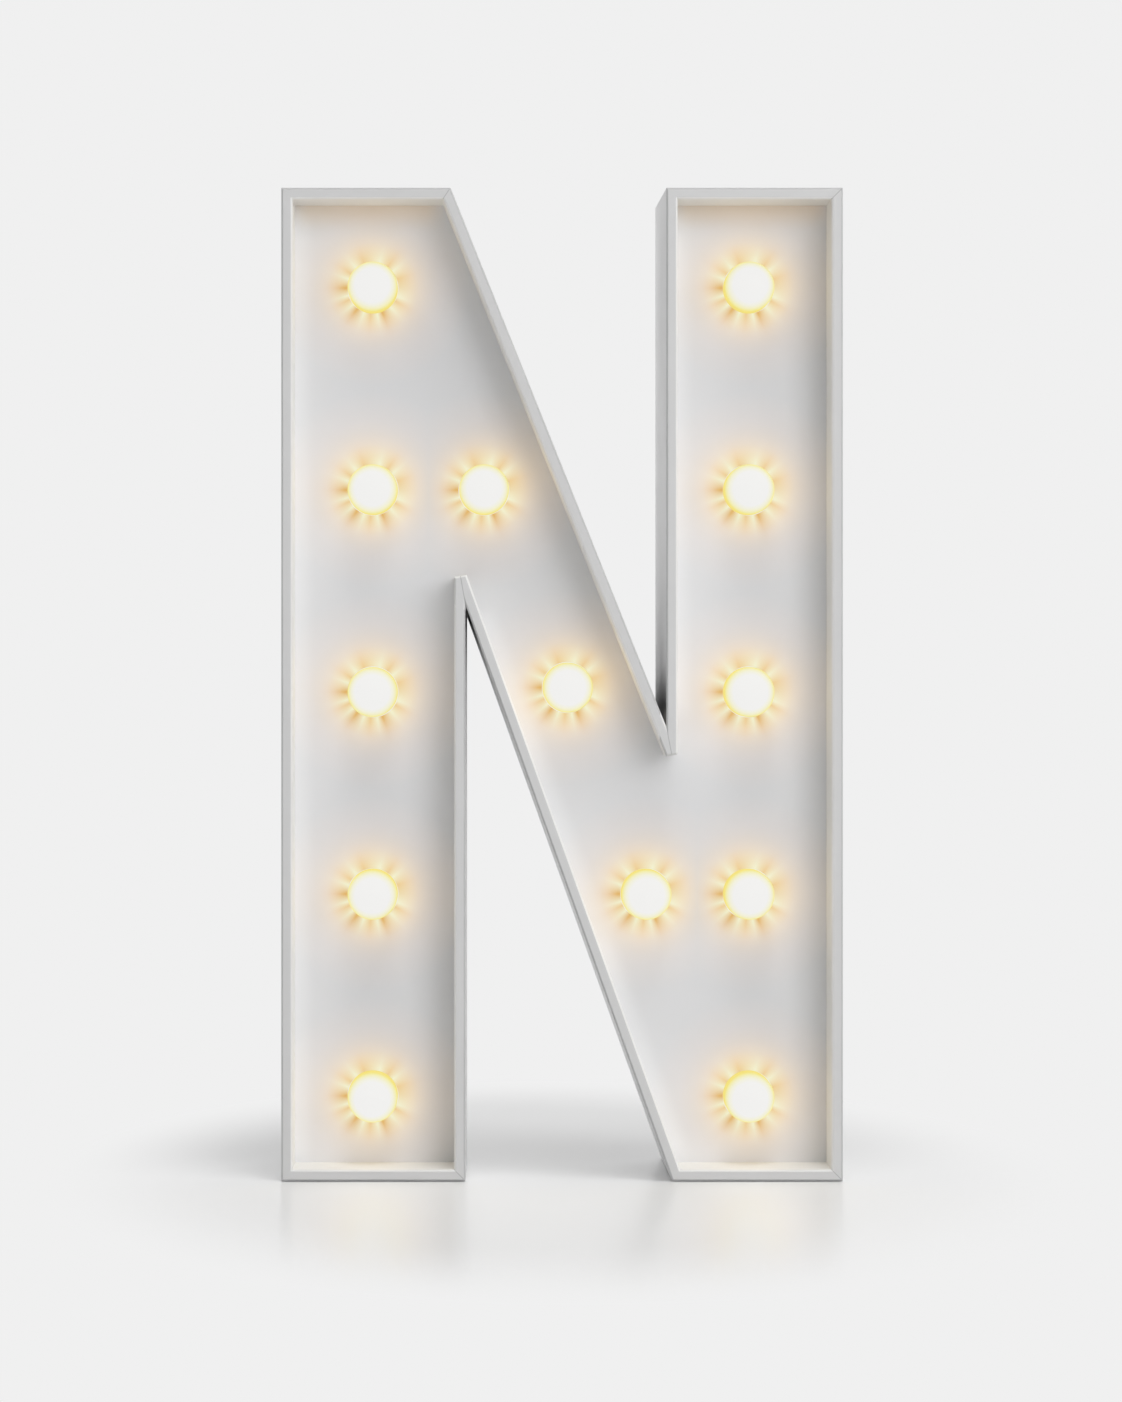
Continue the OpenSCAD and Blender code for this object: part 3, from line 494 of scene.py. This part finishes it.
def beside_edge(tree, place, i, reach):
    """How near a point of the face is to the inner wall of the edge from corner i, from 1 to 0."""
    edge = Vector(LETTER[(i + 1) % len(LETTER)]) - Vector(LETTER[i])
    way = edge.normalized()
    half = edge.length * MM / 2
    from_corner = vector_node(tree, "SUBTRACT", place, (LETTER[i][0] * MM, 0.0, LETTER[i][1] * MM))
    along = vector_node(tree, "DOT_PRODUCT", from_corner, (way.x, 0.0, way.y))
    inward = vector_node(tree, "DOT_PRODUCT", from_corner, (way.y, 0.0, -way.x))
    share = map_range(tree, inward, RIM_W * MM, RIM_W * MM + reach, 1.0, 0.0)
    share = math_node(tree, "MULTIPLY", share, math_node(tree, "GREATER_THAN", inward, 0.0))
    from_middle = math_node(tree, "ABSOLUTE", math_node(tree, "SUBTRACT", along, half))
    return math_node(tree, "MULTIPLY", share, map_range(tree, from_middle, half - STRIP_END, half, 1.0, 0.0))


panel_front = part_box("face_panel")[0].y
panel_material, pt, panel_bsdf = plastic("panel_white", PANEL, 0.5)
panel_color = linked(panel_bsdf, "Base Color")
ray_way, ray_r = from_nearest_bulb(pt)
ray_x, _, ray_z = split(pt, ray_way)
turn = math_node(pt, "ARCTAN2", ray_z, ray_x)
turn = math_node(pt, "FRACT", math_node(pt, "MULTIPLY_ADD", turn, 0.5 / math.pi, 1.0))
ray_stops = [(angle / 360, color) for angles, color in RAYS for angle in angles]
ray_color = ramp(pt, turn, [(0.0, HALO), *sorted(ray_stops), (1.0, HALO)])
ray_share = map_range(pt, ray_r, *RAY_FADE, 1.0, RAY_LEFT, smooth=False)
near_color = mix_color(pt, ray_share, (*HALO, 1.0), ray_color)
share = math_node(pt, "DIVIDE", ray_r, HALO_REACH)
near = ramp(pt, share, NEAR_FADE)
far = ramp(pt, share, FAR_FADE)
lit_side = math_node(pt, "LESS_THAN", split(pt, position(pt))[1], panel_front + FACE_DEPTH)
near = math_node(pt, "MULTIPLY", near, lit_side)
far = math_node(pt, "MULTIPLY", far, lit_side)
far_color = mix_color(pt, far, BLACK, (*FAR_HALO, 1.0))
panel_place = flat_position(pt)
strip = 0.0
for i in LIT_EDGES:
    strip = math_node(pt, "MAXIMUM", strip, beside_edge(pt, panel_place, i, STRIP_REACH))
strip = math_node(pt, "MULTIPLY", math_node(pt, "MULTIPLY", strip, lit_side), STRIP)
warm = 0.0
for i in TOP_EDGES:
    warm = math_node(pt, "MAXIMUM", warm, beside_edge(pt, panel_place, i, WARM_REACH))
warm = math_node(pt, "MULTIPLY", warm, lit_side)
warm_panel = tuple(c * t for c, t in zip(PANEL, WARM_TINT))
panel_color = mix_color(pt, warm, panel_color, (*warm_panel, 1.0))
set_socket(pt, panel_bsdf.inputs["Base Color"], mix_color(pt, near, panel_color, BLACK))
panel_light = mix_color(pt, near, far_color, near_color)
panel_light = mix_color(pt, math_node(pt, "MULTIPLY", warm, WARM_LEVEL), panel_light, (*WARM_LIGHT, 1.0))
set_socket(pt, panel_bsdf.inputs["Emission Color"], mix_color(pt, strip, panel_light, WHITE))
panel_bsdf.inputs["Emission Strength"].default_value = 1.0
dress(["face_panel"], panel_material)
holder_material, _, _ = plastic("holder_white", PANEL, 0.5)
dress(["led_holders"], holder_material)


# Shell: fine seams where the rim's lengths meet, painted shade deep in the notches and along the rim's
# outer edges, a darker tone painted as shade on the rim's front face, and inner walls that take the
# bulbs' warm light and a little of the key lamp's
SEAM_HALF_W = 0.16 * MM
SEAM_DARK = 0.35
SEAM_CORNERS = (1, 2, 4, 5, 7, 8)
EDGE_R = 0.12 * MM
# How dark the painted shade along the rim's outer edges is
EDGE_SHADE = 0.3
WALL_GLOW = (1.0, 0.75, 0.45)
WALL_GLOW_LEVEL = 0.06
WALL_GLOW_R = 18.0 * MM
BOUNCE_WAY = (1.0, 0.0, 0.5)
BOUNCE = 0.05
# Painted shade deep in each notch: how dark it is at the tip, and the distances over which it fades
NOTCH_SHADE = 0.8
NOTCH_SHADE_R = (2.0 * MM, 15.0 * MM)
WALL_GLOW_POWER = 3.0
BOUNCE_TURN = (0.2, 0.9)
BOUNCE_TOWARDS = 0.2
# What counts as the rim: how deep it reaches, and how far its face turns to the front
RIM_DEPTH = 0.5 * MM
RIM_FACING = -0.9
# Noise that varies how much of the painted shade the rim's front face takes
RIM_CLOUD_SCALE = 60.0
RIM_CLOUD = (0.94, 1.0)
# Where a wall counts as an outer one, by how far it turns from the nearest bulb
OUTER_TURN = (0.05, 0.4)


def seam(i):
    """Start, direction and length of the seam at corner i of the rim, in metres."""
    corner = Vector(LETTER[i])
    before = (corner - Vector(LETTER[i - 1])).normalized()
    after = (Vector(LETTER[(i + 1) % len(LETTER)]) - corner).normalized()
    inward = [Vector((way.y, -way.x)) for way in (before, after)]
    det = inward[0].x * inward[1].y - inward[0].y * inward[1].x
    reach = RIM_W * Vector((inward[1].y - inward[0].y, inward[0].x - inward[1].x)) / det
    length = NOTCH_SEAM if i in NOTCHES else reach.length
    return corner * MM, reach.normalized(), length * MM


frame_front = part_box("outer_frame")[0].y
frame_material, st, frame_bsdf = plastic("shell_white", SHELL, 0.42)
frame_place = flat_position(st)
seams = 0.0
for i in SEAM_CORNERS:
    start, way, length = seam(i)
    away = vector_node(st, "SUBTRACT", frame_place, (start.x, 0.0, start.y))
    along = vector_node(st, "DOT_PRODUCT", away, (way.x, 0.0, way.y))
    aside = math_node(st, "ABSOLUTE", vector_node(st, "DOT_PRODUCT", away, (-way.y, 0.0, way.x)))
    line = map_range(st, aside, 0.0, SEAM_HALF_W, 1.0, 0.0)
    line = math_node(st, "MULTIPLY", line, math_node(st, "LESS_THAN", along, length))
    seams = math_node(st, "MAXIMUM", seams, line)
on_rim = math_node(st, "LESS_THAN", split(st, position(st))[1], frame_front + RIM_DEPTH)
seams = math_node(st, "MULTIPLY", math_node(st, "MULTIPLY", seams, on_rim), SEAM_DARK)
wall_normal = st.nodes.new("ShaderNodeNewGeometry").outputs["Normal"]
rim_cloud = map_range(st, noise(st, frame_place, RIM_CLOUD_SCALE), *NOISE_TURN, *RIM_CLOUD)
# The rim's front face takes the darker tone, painted shade varied a little by noise
rim_face = math_node(st, "LESS_THAN", split(st, wall_normal)[1], RIM_FACING)
rim_shade_share = math_node(st, "MULTIPLY", rim_face, rim_cloud)
frame_color = mix_color(st, rim_shade_share, linked(frame_bsdf, "Base Color"), (*RIM_PAINTED_SHADE, 1.0))
wall_way, wall_r = from_nearest_bulb(st)
away_share = vector_node(st, "DOT_PRODUCT", wall_normal, vector_node(st, "NORMALIZE", wall_way))
towards = math_node(st, "MULTIPLY", away_share, -1.0, clamp=True)
outer_share = map_range(st, away_share, *OUTER_TURN)
# Painted shade along the rim's outer edges, where its faces turn away from the bulbs
outer_edge_shade = math_node(st, "MULTIPLY", math_node(st, "MULTIPLY", outer_share, on_rim), EDGE_SHADE)
# Painted shade on the outer walls deep in each notch, darkest near its tip and kept off the rim
notch_shade = 0.0
for i, opens in NOTCHES.items():
    from_tip = vector_node(st, "SUBTRACT", frame_place, (LETTER[i][0] * MM, 0.0, LETTER[i][1] * MM))
    tip_shade = map_range(st, vector_node(st, "LENGTH", from_tip), *NOTCH_SHADE_R, NOTCH_SHADE, 0.0)
    past_tip = math_node(st, "GREATER_THAN", math_node(st, "MULTIPLY", split(st, from_tip)[2], opens), 0.0)
    notch_shade = math_node(st, "MAXIMUM", notch_shade, math_node(st, "MULTIPLY", tip_shade, past_tip))
notch_shade = math_node(st, "MULTIPLY", notch_shade, outer_share)
notch_shade = math_node(st, "MULTIPLY", notch_shade, math_node(st, "SUBTRACT", 1.0, on_rim))
# The seams are dark joints; the darkening in the notches and along the outer edges is painted shade
seams_and_painted_shade = math_node(st, "MAXIMUM", math_node(st, "MAXIMUM", seams, outer_edge_shade), notch_shade)
set_socket(st, frame_bsdf.inputs["Base Color"], mix_color(st, seams_and_painted_shade, frame_color, BLACK))
wall_share = math_node(st, "POWER", math_node(st, "DIVIDE", WALL_GLOW_R, wall_r), WALL_GLOW_POWER)
wall_light = math_node(st, "MULTIPLY", math_node(st, "MULTIPLY", towards, wall_share), WALL_GLOW_LEVEL)
before_panel = math_node(st, "LESS_THAN", split(st, position(st))[1], panel_front)
wall_light = math_node(st, "MULTIPLY", wall_light, before_panel)
wall_color = mix_color(st, wall_light, BLACK, (*WALL_GLOW, 1.0))
bounce = map_range(st, vector_node(st, "DOT_PRODUCT", wall_normal, BOUNCE_WAY), *BOUNCE_TURN)
bounce = math_node(st, "MULTIPLY", bounce, map_range(st, towards, 0.0, BOUNCE_TOWARDS))
bounce = math_node(st, "MULTIPLY", math_node(st, "MULTIPLY", bounce, before_panel), BOUNCE)
set_socket(st, frame_bsdf.inputs["Emission Color"], mix_color(st, bounce, wall_color, WHITE))
frame_bsdf.inputs["Emission Strength"].default_value = 1.0
dress(["outer_frame"], frame_material)
soften("outer_frame", EDGE_R)
cover_material, _, _ = plastic("cover_white", SHELL, 0.5, grain=0.12)
dress(["back_cover", "battery_door"], cover_material)


# On and off marks, raised on the cover beside the switch and inked
mark_material, _, _ = plastic("mark_ink", (0.08, 0.08, 0.085), 0.5, grain=0.1, tint=0.15)
MARK_R = 0.28 * MM
MARK_X = 7.2 * MM
BAR_HALF = 1.3 * MM
RING_R = 1.3 * MM
RING_POINTS = 36
BEAD_SIDES = 10
CAP_TURNS = (0.5, 1.0, 1.4)


def bead(name, points, closed):
    """A round bead along points in the plane of the cover, with round ends where it is open."""
    mesh = bpy.data.meshes.new(name)
    rings = []
    count = len(points)
    for k, point in enumerate(points):
        if closed:
            way = points[(k + 1) % count] - points[k - 1]
        else:
            way = points[min(k + 1, count - 1)] - points[max(k - 1, 0)]
        side = Vector((way.z, 0.0, -way.x)).normalized()
        rings.append((point, side, MARK_R))
    if not closed:
        for end, order in ((0, 1), (-1, -1)):
            point, side, _ = rings[end]
            way = (points[end] - points[end + order]).normalized()
            caps = []
            for t in CAP_TURNS:
                caps.append((point + way * MARK_R * math.sin(t), side, MARK_R * math.cos(t)))
            rings = caps[::-1] + rings if end == 0 else rings + caps
    verts = []
    for point, side, r in rings:
        for j in range(BEAD_SIDES):
            a = 2 * math.pi * j / BEAD_SIDES
            verts.append(point + side * (r * math.cos(a)) + Vector((0.0, r * math.sin(a), 0.0)))
    faces = []
    for k in range(len(rings) if closed else len(rings) - 1):
        a, b = k * BEAD_SIDES, (k + 1) % len(rings) * BEAD_SIDES
        for j in range(BEAD_SIDES):
            n = (j + 1) % BEAD_SIDES
            faces.append((a + j, a + n, b + n, b + j))
    if not closed:
        faces.append(tuple(reversed(range(BEAD_SIDES))))
        faces.append(tuple(range(len(verts) - BEAD_SIDES, len(verts))))
    mesh.from_pydata(verts, [], faces)
    mesh.polygons.foreach_set("use_smooth", [True] * len(mesh.polygons))
    mesh.materials.append(mark_material)
    piece = bpy.data.objects.new(name, mesh)
    bpy.context.scene.collection.objects.link(piece)
    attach(piece, "letter")


switch_low, switch_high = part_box("switch_housing")
switch_x, _, switch_z = [(low + high) / 2 for low, high in zip(switch_low, switch_high)]
switch_place = Vector((switch_x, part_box("back_cover")[1].y, switch_z))
on_place = switch_place + Vector((MARK_X, 0.0, 0.0))
off_place = switch_place - Vector((MARK_X, 0.0, 0.0))
bead("mark_on", [on_place + Vector((0.0, 0.0, z * BAR_HALF)) for z in (-1.0, -0.5, 0.0, 0.5, 1.0)], False)
ring_turns = [2 * math.pi * k / RING_POINTS for k in range(RING_POINTS)]
bead("mark_off", [off_place + RING_R * Vector((math.cos(t), 0.0, math.sin(t))) for t in ring_turns], True)


# Small metal and wiring
screw_material, _, _ = metal("screw_steel", (0.46, 0.46, 0.48), 0.32, (900.0, 900.0, 2500.0))
dress(["cover_screws"], screw_material)
contact_material, _, _ = metal("contact_nickel", (0.72, 0.70, 0.64), 0.3, (3000.0, 300.0, 300.0))
dress(["contact_positive", "contact_negative", "contact_link", "switch_terminals"], contact_material)
spring_material, _, _ = metal("spring_steel", (0.68, 0.68, 0.68), 0.25, (2500.0, 2500.0, 600.0))
dress(["contact_spring_a", "contact_spring_b"], spring_material)
switch_material, _, _ = metal("switch_metal", (0.60, 0.60, 0.60), 0.38, (300.0, 3000.0, 3000.0))
dress(["switch_housing"], switch_material)
slider_material, _, _ = plastic("slider_black", (0.025, 0.025, 0.026), 0.4, grain=0.2, tint=0.2)
dress(["switch_slider"], slider_material)
red_material, _, _ = plastic("wire_red", (0.55, 0.04, 0.03), 0.4, grain=0.1, tint=0.1)
dress(["jumper_wires_red", "lead_battery_red", "lead_resistor_red"], red_material)
black_material, _, _ = plastic("wire_black", (0.022, 0.022, 0.022), 0.4, grain=0.1, tint=0.2)
dress(["jumper_wires_black", "lead_battery_black"], black_material)
led_material, _, led_bsdf = plastic("led_warm", (0.9, 0.75, 0.4), 0.25)
led_bsdf.inputs["Emission Color"].default_value = (1.0, 0.72, 0.32, 1.0)
led_bsdf.inputs["Emission Strength"].default_value = 0.8
dress(led_names, led_material)

# Resistor: tan body with plain bands, between tinned wires
TINNED = (0.65, 0.64, 0.61)
TAN = (0.60, 0.45, 0.26)
BROWN = (0.14, 0.05, 0.02)
GOLD = (0.5, 0.32, 0.05)
RESISTOR_BANDS = [
    (0.0, TINNED), (0.337, TAN), (0.39, BROWN), (0.42, TAN), (0.47, BROWN),
    (0.5, TAN), (0.58, GOLD), (0.61, TAN), (0.663, TINNED),
]
RESISTOR_METAL = [(0.0, 1.0), (0.337, 0.0), (0.663, 1.0)]
banded("resistor_tan", "resistor", RESISTOR_BANDS, RESISTOR_METAL, 0.35)

# Cells: slate wrap with a pale band at the positive end, and bare metal ends
SLATE = (0.05, 0.09, 0.14)
PALE_BAND = (0.55, 0.57, 0.60)
NICKEL = (0.70, 0.69, 0.66)
CELL_BANDS = [
    (0.0, NICKEL), (0.012, SLATE), (0.78, PALE_BAND),
    (0.80, SLATE), (0.82, PALE_BAND), (0.965, NICKEL),
]
CELL_METAL = [(0.0, 1.0), (0.012, 0.0), (0.965, 1.0)]
for cell, turned in (("battery_cell_a", False), ("battery_cell_b", True)):
    banded(f"cell_wrap_{cell[-1]}", cell, CELL_BANDS, CELL_METAL, 0.3, turned)
